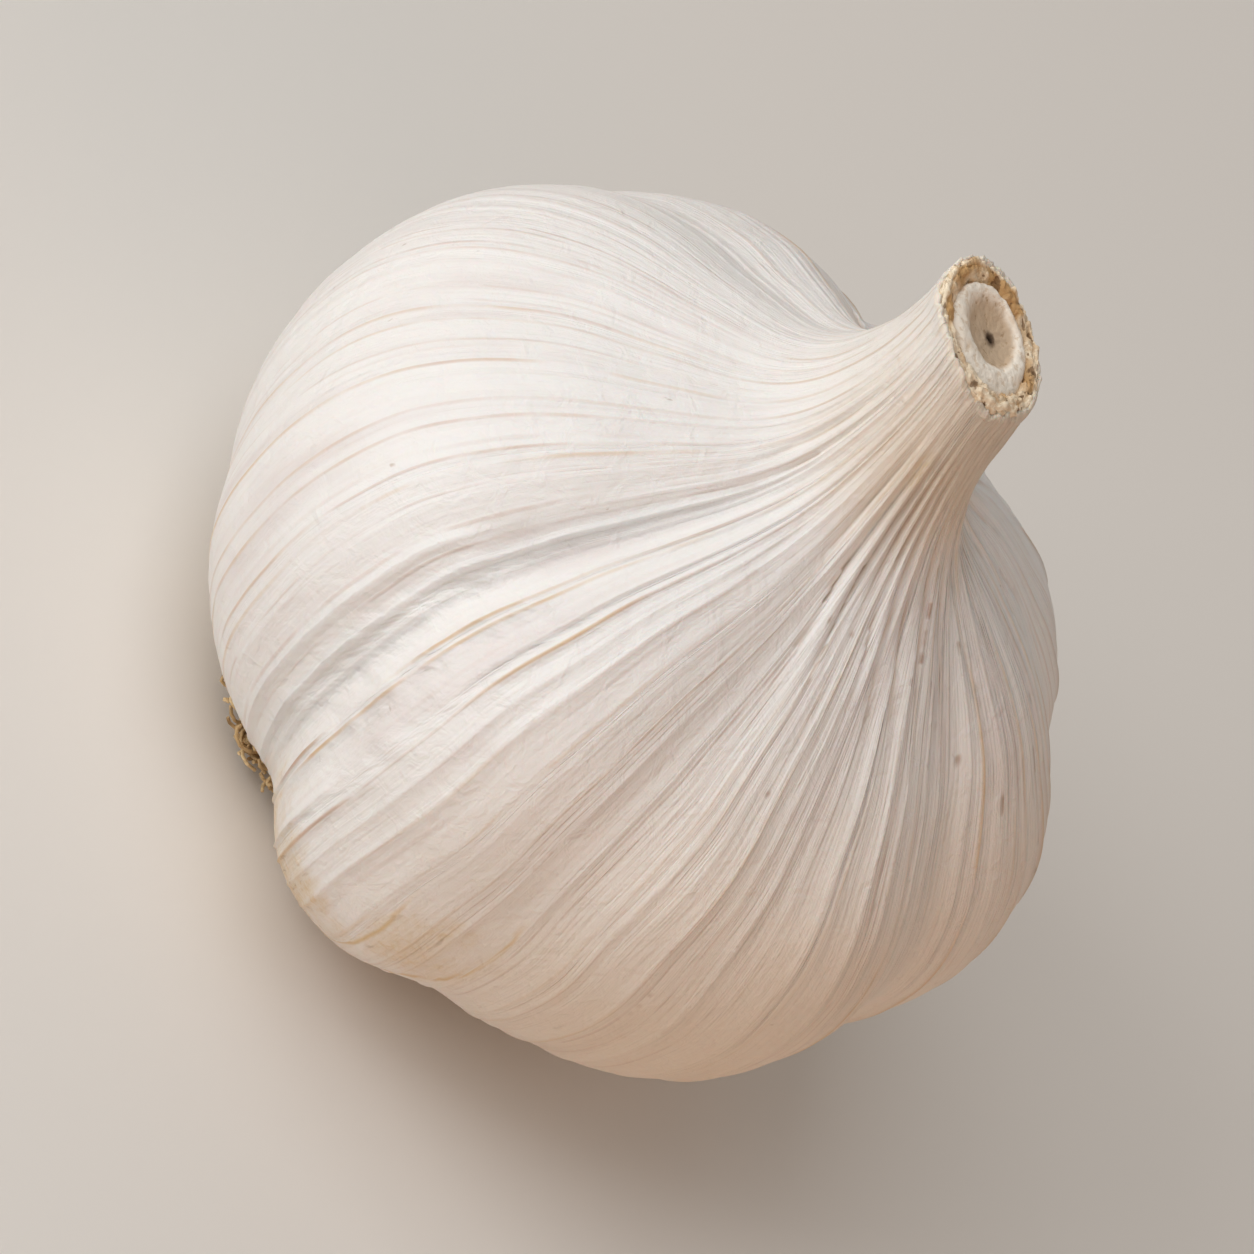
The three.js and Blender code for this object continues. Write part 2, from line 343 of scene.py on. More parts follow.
def end_sheet(sheet, shape, material):
    """The last nodes of every tree: smooth shading, real meshes in place of instances, a finish."""
    shape = sheet.add("GeometryNodeSetShadeSmooth", {}, {"Geometry": shape, "Shade Smooth": True})
    shape = sheet.add("GeometryNodeRealizeInstances", {}, {"Geometry": shape})
    shape = sheet.add("GeometryNodeSetMaterial", {}, {"Geometry": shape, "Material": material})
    sheet.tree.links.new(shape.socket, sheet.tree.nodes.new("NodeGroupOutput").inputs[0])


# %% Keep a piece
def make_piece(name, mesh, sheet, sizes):
    """Runs a tree on a mesh with the given sizes and keeps the result as a plain mesh."""
    piece = bpy.data.objects.new(name, mesh)
    bpy.context.collection.objects.link(piece)
    modifier = piece.modifiers.new(name, "NODES")
    modifier.node_group = sheet.tree
    for item in sheet.tree.interface.items_tree:
        if item.in_out == "INPUT" and item.name in sizes:
            modifier[item.identifier] = sizes[item.name]
    evaluated = piece.evaluated_get(bpy.context.evaluated_depsgraph_get())
    made = bpy.data.meshes.new_from_object(evaluated)
    made.name = name
    piece.modifiers.remove(modifier)
    piece.data = made
    made.calc_loop_triangles()
    print(f"{name}: {len(made.loop_triangles)} triangles")
    return piece


# %% [markdown]
# ## The papery skin's finish
# Dry garlic skin is several leaf bases thick. It is a warm white with a soft sheen, and long veins
# run from root to neck, each with a broken tan or pink line beside it. Streaks, faint mauve
# patches, ochre stains at the root and brown flecks lie between them. An image texture could hold
# all this, but formulas in the skin's own coordinates stay sharp at any size: the geometry keeps a
# `skin_place` mark whose first number counts veins and whose second runs from root to cut.


# %% Start a finish and mix its colours
def finish_sheet(name):
    """A new material with no nodes, and the sheet to draw it on."""
    material = bpy.data.materials.new(name)
    material.use_nodes = True
    material.node_tree.nodes.clear()
    return material, Sheet(material.node_tree)


def blend(factor, under, over):
    """Covers one colour with another by a factor."""
    sockets = {"Factor": factor, "A": under, "B": over}
    return Sheet(factor.tree).add("ShaderNodeMix", {"data_type": "RGBA"}, sockets)


def coats(colour, *layers):
    """Covers a colour with one layer after another, each a mask and what it adds."""
    for mask, over in layers:
        colour = blend(mask, colour, over)
    return colour


# %% Read marks and end a finish
def mark(sheet, name, output="Fac"):
    """A mark that the geometry left on the piece."""
    return sheet.add("ShaderNodeAttribute", {"attribute_name": name}, {}, output)


def object_place(sheet):
    return sheet.add("ShaderNodeTexCoord", {}, {}, "Object")


def end_finish(material, colour, roughness, height, depth, steady):
    """Ends a finish in a Principled shader with a bump of the given depth and steady sockets."""
    sheet = Sheet(material.node_tree)
    bump = sheet.add("ShaderNodeBump", {}, {"Strength": 1.0, "Distance": depth, "Height": height})
    sockets = {"Base Color": colour, "Roughness": roughness, "Normal": bump, **steady}
    surface = sheet.add("ShaderNodeBsdfPrincipled", {}, sockets)
    output = sheet.tree.nodes.new("ShaderNodeOutputMaterial")
    sheet.tree.links.new(surface.socket, output.inputs["Surface"])
    tell(material.name, sheet)


# %% Read the skin's own coordinates
VEINS = 96
VEIN_GAP = tau * HALF_WIDTH / VEINS
SKIN_LENGTH = 1.5 * HEIGHT

papery_skin, skin = finish_sheet("papery_skin")
skin_place = parts(mark(skin, "skin_place", "Vector"))
across, along, girth = skin_place.x, skin_place.y, skin_place.z
in_space = object_place(skin)
to_far_side = parts(in_space).x
print(f"{VEINS} veins, {VEIN_GAP / MM:.2f} mm apart where the bulb is widest")

# %% Rules for streaks and broken lines
# In mm: the solid part of a line, and how far the line lies beside its vein.
LINE_CORE = 0.02
LINE_ASIDE = 0.03
# The step in the noise from one line to the next, so that they break in different places.
LINE_SHIFT = 3.7


def streaks(per_vein, per_length, detail=3):
    """Random streaks that run with the veins."""
    return noise(skin, vector(skin, across * per_vein, along * per_length), 1.0, detail)


def hairlines(per_vein, half_width, per_length=16, hidden=0.35, shown=0.62):
    """Broken lines that run with the veins, half a width in mm, and a random number for each."""
    count = across * per_vein
    number = maths("ROUND", count)
    aside = (count - number) * girth * (VEIN_GAP / MM / per_vein)
    which = {"W": number % (VEINS * per_vein)}
    dye = skin.add("ShaderNodeTexWhiteNoise", {"noise_dimensions": "1D"}, which, "Value")
    breaks = noise(skin, vector(skin, number * LINE_SHIFT, along * per_length), 1.0, 2)
    return near(aside - LINE_ASIDE, half_width, LINE_CORE) * fade(breaks, hidden, shown), dye


# %% Draw the skin's lines and noises
broad_streak = streaks(0.7, 4)
fine_streak = streaks(4, 10)
vein_line, vein_dye = hairlines(1, 0.2, 11, 0.35, 0.58)
thin_line, thin_dye = hairlines(3, 0.13)
neck_line, neck_dye = hairlines(0.5, 0.13, 12, 0.35, 0.55)
scar_line, scar_dye = hairlines(2, 0.24, 34, 0.64, 0.72)

cloud = noise(skin, in_space, 70, 2)
patch = noise(skin, in_space, 260, 3)
wrinkle = noise(skin, in_space, 650, 3, 0.55, 0.8)
grain = noise(skin, in_space, 2600, 3, 0.6)
tell("streaks, lines and noises", skin)

# %% [markdown]
# ### Colour in layers
# Fresh skin is white, older skin cream or mauve, and the veins hold the darkest dye. The cream low on
# the side away from the key light is partly the skin's age and partly painted shade, and the tan on
# the farthest side is painted shade. A painter would lay them on in that order, so the colour is
# built in
# layers: a mask, its strength, and what it covers the layers below with. Veins are counted from the
# seam at the back, and the boldest are at the front, near vein 44.

# %% Lay the pale layers, with painted shade on the far side
WARM_WHITE = (0.82, 0.79, 0.765, 1)
MAUVE = (0.67, 0.58, 0.555, 1)
AGED_AND_SHADED_CREAM = (0.75, 0.595, 0.43, 1)
TAN = (0.55, 0.37, 0.23, 1)
FRONT_VEIN = 44
FRONT_REACH = (7, 3)
RUGGED_VEINS = (44, 58, 68, 84)

rugged = band(across, *RUGGED_VEINS) * fade(along, 0.3, 0.45)
mauve_patch = fade(broad_streak, 0.45, 0.75) * fade(cloud, 0.4, 0.65)
mauve_streak = fade(streaks(1.7, 5), 0.5, 0.75)
# Cream low on the side away from the key light: partly the skin's age, partly painted shade.
aged_and_shaded_low = fade(along, 0.75, 0.3) * (0.4 + 0.6 * fade(along, 0.12, 0.32))
aged_and_shaded = fade(to_far_side, -0.1 * HALF_WIDTH, 0.95 * HALF_WIDTH) * aged_and_shaded_low
# Tan on the farthest side: painted shade.
far_side_shade = fade(to_far_side, 0.5 * HALF_WIDTH, HALF_WIDTH) * fade(along, 0.8, 0.5)
tan_streak = fade(fine_streak, 0.55, 0.8) * (0.1 + 0.2 * rugged)

colour = coats(
    WARM_WHITE,
    (0.6 * mauve_patch, MAUVE),
    (0.3 * mauve_streak, MAUVE),
    (aged_and_shaded * (0.4 + 0.5 * cloud), AGED_AND_SHADED_CREAM),
    (0.16 * far_side_shade, TAN),
    (tan_streak, TAN),
)
tell("with pale layers", skin)

# %% Dye the veins and the neck, with painted shade in the pleats' creases and on the neck's far side
VEIN_OCHRE = (0.64, 0.42, 0.21, 1)
VEIN_PINK = (0.58, 0.40, 0.32, 1)
CREAM = (0.79, 0.69, 0.56, 1)
NECK_CREAM = (0.70, 0.565, 0.42, 1)

neck = fade(along, 0.7, 0.9)
# Cream on the neck's far side: partly a creamier dry neck, partly painted shade.
neck_far_side_cream_and_shade = neck * fade(to_far_side, -0.28 * HALF_WIDTH, 0.06 * HALF_WIDTH)
wide = fade(girth, 0.2, 0.75)
front = near(across - FRONT_VEIN, *FRONT_REACH)
vein_tint = blend(fade(cloud + 0.4 * (vein_dye - 0.5) + 0.5 * neck, 0.4, 0.6), VEIN_PINK, VEIN_OCHRE)
vein_strength = (0.05 + mark(skin, "ridge")) * fade(vein_dye, 0.1, 0.85)
vein_strength = vein_strength * (0.22 + 0.55 * wide) * (1 + 0.5 * front)

colour = coats(
    colour,
    (0.42 * thin_line * fade(thin_dye, 0.5, 1.0) * wide, VEIN_PINK),
    (vein_line * vein_strength, vein_tint),
    (0.25 * neck, CREAM),
    (0.7 * neck_far_side_cream_and_shade, NECK_CREAM),
    (0.5 * neck_line * neck_dye * fade(along, 0.62, 0.8), TAN),
    # Tan in the pleats' creases: painted shade.
    (0.85 * mark(skin, "crease_shade"), TAN),
)
tell("with veins and neck", skin)

# %% [markdown]
# ### Stains and scars
# Damp soil leaves ochre stains at the foot and on the clove at the front, and rust follows the
# border of a worn scale. They could be painted by hand. Here each is a spot with a place in the
# skin's coordinates (a vein, then a share of the way from root to cut) and a width and a height in
# the same units, and noise frays its border.

# %% Rules for spots
RUST_SIZE = (3.8, 0.14)


def far_from(vein, share, width, tall):
    """How far a place is from the middle of a spot, in shares of the spot."""
    return (((across - vein) / width) ** 2 + ((along - share) / tall) ** 2) ** 0.5


frayed_border = 1.8 * (patch - 0.5) + 1.2 * (streaks(3, 20) - 0.5)


def blot(*spot_place):
    """A ragged spot."""
    return fade(far_from(*spot_place) + frayed_border, 1.2, 0.1)


def rust_arc(vein, share):
    """A quarter of a thin ring, where the border of a worn scale has rusted."""
    edge = near(far_from(vein, share, *RUST_SIZE) + 0.16 * (patch - 0.5) - 1, 0.04, 0.0)
    return edge * fade(across, vein, vein + 1.5) * fade(along, share + 0.05, share)


tell("with frayed borders", skin)

# %% Stain and scar the skin
OCHRE = (0.66, 0.46, 0.22, 1)
SCAR = (0.36, 0.18, 0.08, 1)
BROWN = (0.30, 0.17, 0.08, 1)
LARGE_STAIN = (46.0, 0.2, 4.0, 0.07)
SMALL_STAIN = (50.3, 0.29, 2.2, 0.05)
NECK_STAIN = (52.3, 0.87, 1.3, 0.03)
RUST_PLACES = ((45.3, 0.29), (48.2, 0.33))

foot = fade(along, 0.28, 0.05)
foot_stain = foot * fade(streaks(1.5, 9) + 0.3 * foot, 0.5, 0.85)
clove_stain = maths("MAXIMUM", blot(*LARGE_STAIN), 0.8 * blot(*SMALL_STAIN))
speckle = fade(grain, 0.4, 0.62) * fade(wrinkle, 0.35, 0.65)
rust = maths("MAXIMUM", *[rust_arc(*place) for place in RUST_PLACES]) * fade(fine_streak, 0.3, 0.5)
neck_stain = blot(*NECK_STAIN) * fade(streaks(3, 70), 0.4, 0.6)
scarred = scar_line * fade(scar_dye, 0.2, 0.6) * (0.15 + 0.85 * rugged) * fade(along, 0.8, 0.7)
fleck = fade(streaks(2, 60, 2), 0.72, 0.78) * fade(patch, 0.5, 0.6)

colour = coats(
    colour,
    (0.75 * foot_stain, OCHRE),
    (clove_stain * (0.45 + 0.4 * speckle), OCHRE),
    (0.85 * rust, OCHRE),
    (0.5 * clove_stain * fade(streaks(3, 40), 0.6, 0.7), BROWN),
    (0.45 * neck_stain, OCHRE),
    (0.6 * scarred, SCAR),
    (0.45 * fleck, BROWN),
    (0.6 * fade(along, 0.99, 1.0), CREAM),
)
tell("with stains and scars", skin)

# %% [markdown]
# ### Fine relief
# Veins and folds are true geometry, but fibres and the finest crinkles are thinner than the mesh's
# columns, so a Bump node draws those. The crinkles lie in one valley at the front and lean like the
# barbs of a feather. The geometry uses the same leaning cells for its larger folds.

# %% Raise the fibres and end the skin's finish
CRINKLED_VEIN = 42
CRINKLE_LEAN = radians(27)


def feathered(sheet, sideways, lengthwise, cell_width, cell_length):
    """A place for noise whose long cells lean away from the veins."""
    over = sideways * cos(CRINKLE_LEAN) - lengthwise * sin(CRINKLE_LEAN)
    up = sideways * sin(CRINKLE_LEAN) + lengthwise * cos(CRINKLE_LEAN)
    return vector(sheet, over / cell_width, up / cell_length)


from_crinkles = (across - CRINKLED_VEIN) * girth * VEIN_GAP
fine_cells = feathered(skin, from_crinkles, along * SKIN_LENGTH, 0.8 * MM, 3.6 * MM)
fine_crinkled = near(across - CRINKLED_VEIN, 4.2, 1.6) * band(along, 0.22, 0.34, 0.5, 0.64)

bump_height = (
    (0.5 + 0.9 * rugged) * fine_streak
    + 0.25 * grain
    + 0.3 * broad_streak
    + (0.25 + 0.35 * rugged) * streaks(9, 14)
    + 1.5 * wrinkle
    + 1.8 * noise(skin, fine_cells, 1.0, 2) * fine_crinkled
    + 0.25 * thin_line * thin_dye
    - 0.5 * scarred
    - 0.6 * neck_line * neck_dye * neck
)

skin_steady = {"Subsurface Weight": 0.12, "Subsurface Scale": 0.6 * MM}
end_finish(papery_skin, colour, 0.44 + 0.14 * fine_streak, bump_height, 0.1 * MM, skin_steady)

# %% [markdown]
# ## The papery skin
# The skin bulges over each clove beneath it and dips between two, then gathers into pleats at the
# neck. Sculpting could shape it, but a formula can be read and changed. The outline is drawn as
# shares of the bulb's half width and height. The grid has four columns for each vein, a crest, two
# feet and a place halfway to the next vein, so that even a thin vein is a true ridge in the mesh.
# From here on, `sheet`, `given` and `spot` are the tree, inputs and grid of the piece at hand.

# %% Draw the skin's outline
SKIN_OUTLINE = (
    (0.356, 0.050), (0.463, 0.031), (0.672, 0.057), (0.839, 0.130), (0.950, 0.230),
    (1.0, 0.356), (0.978, 0.464), (0.881, 0.563), (0.715, 0.647), (0.515, 0.713),
    (0.352, 0.765), (0.256, 0.815), (0.206, 0.875), (0.182, 0.938), (0.175, 0.990),
)
SKIN_STEPS = 16
RIM = ((0.172, 0.9945), (0.166, 0.9945), (0.162, 0.990))
SOCKET = ((0.160, 0.96), (0.158, 0.92), (0.0, 0.92))
RECESS = ((0.0, 0.073), (0.318, 0.073), (0.333, 0.058))
IN_SOCKET = 1.2


def to_size(shares):
    return [(radius * HALF_WIDTH, level * HEIGHT) for radius, level in shares]


skin_line = smooth_line(to_size(SKIN_OUTLINE), SKIN_STEPS)
along_skin = [row / (len(skin_line) - 1) for row in range(len(skin_line))]
skin_rows = to_size(RECESS) + skin_line + to_size(RIM) + to_size(SOCKET)
skin_relief = [0] * len(RECESS) + [1] * len(skin_line) + [0] * (len(RIM) + len(SOCKET))
skin_along = [0] * len(RECESS) + along_skin + [1] * len(RIM) + [IN_SOCKET] * len(SOCKET)
skin_mesh = outline_mesh("skin_outline", skin_rows, skin_relief, skin_along)

# %% Lay the skin's grid
VEIN_COLUMNS = 4

skin_sizes = {
    "Columns": VEIN_COLUMNS * VEINS,
    "Vein Height": 0.17 * MM,
    "Vein Wander": 0.35,
    "Pleats": 32,
    "Pleat Height": 0.8 * MM,
    "Fine Pleat Height": 0.16 * MM,
    "Out Of Round": 0.35 * MM,
    "Dents": 0.7 * MM,
    "Crinkles": 1.0 * MM,
    "Waist": 1.3 * MM,
    "Tear": 0.5 * MM,
    "Seed": 11,
}
sheet, given, spot = grid_sheet("papery_skin", skin_sizes)
print("skin grid:", skin_sizes["Columns"], "columns")

# %% Place the veins
SEAM = radians(190)
VEIN_STEP = tau / VEINS
VEIN_FOOT = 0.14
VEIN_SHIFT = 5.3


def vein_angle(number):
    wander = random(sheet, -1.0, 1.0, number % VEINS, given["Seed"]) * given["Vein Wander"]
    return SEAM + (number + wander) * VEIN_STEP


vein = maths("FLOOR", spot.column / VEIN_COLUMNS)
corner = spot.column - vein * VEIN_COLUMNS
crest = maths("COMPARE", corner, 1, 0.1)
halfway = maths("COMPARE", corner, 3, 0.1)
beside = VEIN_FOOT * (corner - 1)
near_vein = vein_angle(vein) + beside * VEIN_STEP
between_veins = (vein_angle(vein) + vein_angle(vein + 1)) / 2
grid_angle = near_vein + halfway * (between_veins - near_vein)
vein_count = vein + beside + halfway * (0.5 - 2 * VEIN_FOOT)

vein_luck = random(sheet, 0.0, 1.0, vein % VEINS, given["Seed"] + 1)
vein_life = noise(sheet, vector(sheet, vein % VEINS * VEIN_SHIFT, spot.along * 4), 1.0, 1)
bold = 0.4 * near(vein - FRONT_VEIN, *FRONT_REACH)
vein_weight = fade(vein_luck + bold, 0.1, 0.85) * fade(vein_life, 0.3, 0.5)
tell("veins", sheet)

# %% Twist the skin
NECK_TWIST = radians(6)
FOOT_TWIST = radians(10)
SWAY = 0.06

gathered = fade(spot.along, 0.55, 0.78)
straight = round_axis(sheet, grid_angle, spot.radius, spot.level)
lobe_angle = grid_angle + (noise(sheet, straight, 70, 1) - 0.5) * SWAY * (1 - gathered)
angle = lobe_angle + NECK_TWIST * gathered + FOOT_TWIST * fade(spot.along, 0.55, 0.05)


def turned_from(direction):
    """The angle between the place and a direction in degrees, from -pi to pi."""
    return (lobe_angle - radians(direction) + pi) % tau - pi


def facing(direction, edge, flat):
    """1 on the side that faces a direction, and 0 from so many degrees away on."""
    return near(turned_from(direction), radians(edge), radians(flat))


tell("with a twist", sheet)

# %% [markdown]
# ### Cloves, valleys and swells
# A valley is pressed in where two cloves meet, and a swell is raised where one clove stands out. A
# row of the first table gives a direction, a depth in mm, the share of the way up where the valley
# begins, and how soft and wide it is in degrees. A row of the second gives a direction, a height in
# mm, the angles where the swell ends and is full, and the shares of the way up where it starts, is
# full, falls and is gone.

# %% Press the valleys and swell the cloves
VALLEYS = (
    (-62, 1.1, 0.1, 4, 21), (-16, 2.2, 0.09, 2, 21), (-15, 0.8, 0.2, 1, 11), (27, 2.1, 0.25, 7, 23),
    (54, 1.1, 0.24, 7, 21), (87, 1.7, 0.1, 3, 21), (128, 1.7, 0.0, 3, 21), (168, 1.4, 0.1, 4, 21),
    (210, 1.9, 0.0, 3, 21), (250, 1.5, 0.05, 4, 21),
)
SWELLS = (
    (8, 0.9, 24, 0, (0.0, 0.18, 1.25, 1.3)),
    (6, 1.0, 24, 8, (0.03, 0.13, 0.24, 0.36)),
    (66, 0.7, 22, 4, (0.1, 0.3, 0.5, 0.7)),
    (109, 1.4, 34, 10, (0.1, 0.3, 0.62, 0.76)),
    (146, 0.9, 30, 8, (0.3, 0.5, 0.64, 0.76)),
)
VALLEY_RISE = 0.18
ROUNDEST = radians(50)

out_of_round = given["Out Of Round"] * (1 + maths("SINE", 2 * angle + ROUNDEST))
sunken = out_of_round * fade(spot.along, 0.0, VALLEY_RISE)
for direction, depth, begins, softness, reach in VALLEYS:
    from_bottom = (turned_from(direction) ** 2 + radians(softness) ** 2) ** 0.5
    nearness = maths("MAXIMUM", 0, 1 - from_bottom / radians(reach))
    valley = depth * MM * nearness * nearness
    sunken = sunken + valley * fade(spot.along, begins, begins + VALLEY_RISE)
for direction, swell_height, edge, flat, span in SWELLS:
    sunken = sunken - swell_height * MM * facing(direction, edge, flat) * band(spot.along, *span)
lobes = sunken * fade(spot.along, 0.84, 0.5) * -1
tell("with valleys and swells", sheet)

# %% [markdown]
# ### Pleats, crinkles and dents
# Where the neck gathers the skin, spare width folds into pleats, except where the skin is drawn
# smooth. A plain sine wave would look machined, so the count is warped and each pleat has a random
# height and start. Fine pleats lie on the far side, and the neck has a narrower waist at the back.

# %% Fold the pleats
SMOOTH_SIDE = (-80, 68, 28)
FINE_PLEAT_SIDE = (78, 52, 18)

warp = 2.0 * maths("SINE", angle - radians(70)) + 0.5 * maths("SINE", 5 * angle + 2)
pleat = given["Pleats"] * (angle / tau) + warp
pleat_number = maths("FLOOR", pleat)
fold = maths("SINE", pi * (pleat - pleat_number))


def of_pleat(low, high, which):
    """A random number of the pleat's own."""
    return random(sheet, low, high, pleat_number % given["Pleats"], given["Seed"] + which)


drawn_smooth = facing(*SMOOTH_SIDE)
pleat_begins = of_pleat(0.56, 0.70, 2)
pleat_share = of_pleat(0.2, 1.0, 3) * (1 - 0.85 * drawn_smooth)
pleat_share = pleat_share * band(spot.along, pleat_begins, pleat_begins + 0.16, 0.78, 0.96)
pleats = pleat_share * given["Pleat Height"] * (fold - 0.5)
fine_pleats = facing(*FINE_PLEAT_SIDE) * band(spot.along, 0.4, 0.58, 0.72, 0.9)
tell("with pleats", sheet)

# %% Crinkle and dent the skin
CRINKLED_SIDE = (-12, 15, 6)
WAIST_SIDE = (140, 70, 20)

to_crinkles = turned_from(CRINKLED_SIDE[0]) * spot.radius
fold_cells = feathered(sheet, to_crinkles, spot.along * SKIN_LENGTH, 1.5 * MM, 4.2 * MM)
crinkled = facing(*CRINKLED_SIDE) * band(spot.along, 0.24, 0.36, 0.5, 0.62)
crinkles = (noise(sheet, fold_cells, 1.0, 2) - 0.5) * given["Crinkles"] * crinkled
body = band(spot.along, 0.04, 0.2, 0.6, 0.85)
dents = (noise(sheet, straight, 75, 2) - 0.5) * given["Dents"] * body
waist = facing(*WAIST_SIDE) * band(spot.along, 0.68, 0.79, 0.84, 0.95) * given["Waist"]
tell("with crinkles and dents", sheet)

# %% [markdown]
# ### Veins and the torn rim
# Last come the veins, which are highest in the front valley, and the rim of the cut. A knife leaves
# dry skin in small tears, so noise moves the rim's few rows up, down, in and out.

# %% Raise the veins
VALLEY_SIDE = (-14, 15, 7)

vein_taper = 0.2 + 0.8 * fade(spot.along, 0.82, 0.5) * (1 - 0.5 * drawn_smooth)
in_valley = 1 + 1.1 * facing(*VALLEY_SIDE)
vein_height = given["Vein Height"] * vein_weight * vein_taper * in_valley
fine_weight = random(sheet, 0.0, 1.0, spot.column % (VEIN_COLUMNS * VEINS), given["Seed"] + 5)
fine_height = given["Fine Pleat Height"] * fine_weight * fine_pleats
raised = crest * vein_height * fade(spot.along, 0.05, 0.32)
raised = raised + maths("MAXIMUM", crest, halfway) * fine_height
raised = raised + lobes - waist + dents + crinkles + pleats
tell("with raised veins", sheet)

# %% Tear the rim
ragged = 2.4 * (noise(sheet, straight, 600, 3, 0.6) - 0.5)
ragged = ragged + 1.4 * (noise(sheet, straight, 1700, 1) - 0.5)
torn = (0.5 * maths("SINE", 3 * angle + 2) + ragged) * given["Tear"]
at_rim = band(spot.along, 0.975, 1.0, 1.05, 1.15)
bent_rim = (noise(sheet, straight, 420, 3) - 0.5) * fade(spot.along, 0.95, 1.0) * 2 * given["Tear"]
radius = spot.radius + raised * spot.out + bent_rim
level = spot.level + raised * spot.up + at_rim * torn
place = on_neck(sheet, angle, radius, level, fade(spot.along, 0.72, 0.92))
tell("with a torn rim", sheet)

# %% Close the skin
skin_coordinates = vector(sheet, vein_count, spot.along, spot.radius / HALF_WIDTH)
skin_marks = {
    "skin_place": (skin_coordinates, "FLOAT_VECTOR", "CORNER"),
    "ridge": (vein_weight, "FLOAT", "POINT"),
    # Where each pleat folds in, for the painted shade in its crease.
    "crease_shade": (fade(fold, 0.4, 0.0) * pleat_share, "FLOAT", "POINT"),
}
close_grid(sheet, spot.grid, place, skin_marks, papery_skin)
skin_piece = make_piece("papery_skin", skin_mesh, sheet, skin_sizes)
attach(skin_piece, "root")
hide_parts("bulb")

# %% [markdown]
# ## The sheaths in the neck
# Inside the skin's rim the dry leaf sheaths were cut across, which leaves a crumbling tan ring with
# gaps in it. Loose flakes could be scattered over a ring, but they would float, so the ring's own
# points are pushed in and out by noise, and its hollows and lower rows are coloured dark as painted
# shade.

# %% Finish the sheaths
SHEATH_OCHRE = (0.53, 0.32, 0.14, 1)
SHEATH_PALE = (0.86, 0.73, 0.55, 1)
SHEATH_SHADE = (0.20, 0.11, 0.05, 1)
DRY = {"Specular IOR Level": 0.3}

dried_sheaths, dry = finish_sheet("dried_sheaths")
crumb = noise(dry, object_place(dry), 1800, 3, 0.6)
lump = noise(dry, object_place(dry), 420, 2)
# Hollows and the ring's lower rows are coloured dark: painted shade.
hollow_shade = fade(mark(dry, "hollow_shade") + 0.8 * (crumb - 0.5), 0.42, 0.72)
colour = coats(
    SHEATH_OCHRE,
    (fade(lump + 0.25 * mark(dry, "ring_edge"), 0.42, 0.68), SHEATH_PALE),
    (0.45 * fade(crumb, 0.5, 0.36), SHEATH_OCHRE),
    (0.8 * hollow_shade, SHEATH_SHADE),
)
end_finish(dried_sheaths, colour, 0.75 + 0.15 * crumb, crumb, 0.2 * MM, DRY)

# %% Draw the sheaths' outline
SHEATH_RING = (
    (4.5, -2.0), (4.56, 0.4), (4.5, 0.75), (4.3, 0.92), (4.08, 0.84), (3.88, 0.9), (3.65, 0.8),
    (3.42, 0.5), (3.2, 0.0), (3.1, -0.6), (3.1, -2.0),
)
SHEATH_STEPS = 6
CRUMBS_BEGIN = 0.8 * MM

ring_points = [(radius * MM, CUT_LEVEL + rise * MM) for radius, rise in SHEATH_RING]
sheath_line = smooth_line(ring_points, SHEATH_STEPS)
sheath_rows = sheath_line + [sheath_line[0]]
above = [(level - CUT_LEVEL + CRUMBS_BEGIN) / MM for _, level in sheath_rows]
sheath_along = [min(1, max(0, share)) for share in above]
sheath_mesh = outline_mesh("sheath_outline", sheath_rows, [1] * len(sheath_rows), sheath_along)

# %% Turn the sheaths
RING_MIDDLE = 4 * MM
RING_EDGE = (4.05 * MM, 4.4 * MM)

sheath_sizes = {"Columns": 300, "Waviness": 0.3 * MM, "Crumbs": 1.1 * MM}
sheet, given, spot = grid_sheet("dried_sheaths", sheath_sizes)
angle = spot.column / given["Columns"] * tau
straight = round_axis(sheet, angle, spot.radius, spot.level)
wave = noise(sheet, round_axis(sheet, angle, RING_MIDDLE, 0), 420, 2) - 0.5
crumbly = noise(sheet, straight, 1300, 3, 0.6, 0.4)
crumbs = (crumbly - 0.5) * given["Crumbs"] * spot.along
taller = (noise(sheet, straight, 330, 2) - 0.5) * 2.4 * given["Waviness"] * spot.along
radius = spot.radius + wave * given["Waviness"] + crumbs * spot.out
place = on_neck(sheet, angle, radius, spot.level + crumbs * spot.up + taller)
sheath_marks = {
    # Dark mark for hollows and the lower rows: painted shade.
    "hollow_shade": (fade(crumbly, 0.5, 0.34) + 0.6 * (1 - spot.along), "FLOAT", "POINT"),
    "ring_edge": (fade(spot.radius, *RING_EDGE), "FLOAT", "POINT"),
}
close_grid(sheet, spot.grid, place, sheath_marks, dried_sheaths)
sheath_piece = make_piece("dried_sheaths", sheath_mesh, sheet, sheath_sizes)
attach(sheath_piece, "root")
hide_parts("neck_sheaths")

# %% [markdown]
# ## The cut stalk
# The middle of the neck is the cut flower stalk: a pale ring round a sunken grey-brown disc, with a
# pith hole in it whose bottom is painted dark as painted shade. No two of them share a middle, so
# turning one outline can't make them. The outline only numbers the rows, from 0 at the hole through
# 1 at the disc's edge to 2 outside, and the tree works out how far each row is from the hole at every
# angle.

# %% Finish the stalk
STALK_PALE = (0.94, 0.86, 0.75, 1)
STALK_TAN = (0.66, 0.50, 0.34, 1)
STALK_GREY = (0.54, 0.385, 0.245, 1)
STALK_BROWN = (0.34, 0.215, 0.12, 1)
STALK_HOLE_SHADE = (0.10, 0.06, 0.035, 1)

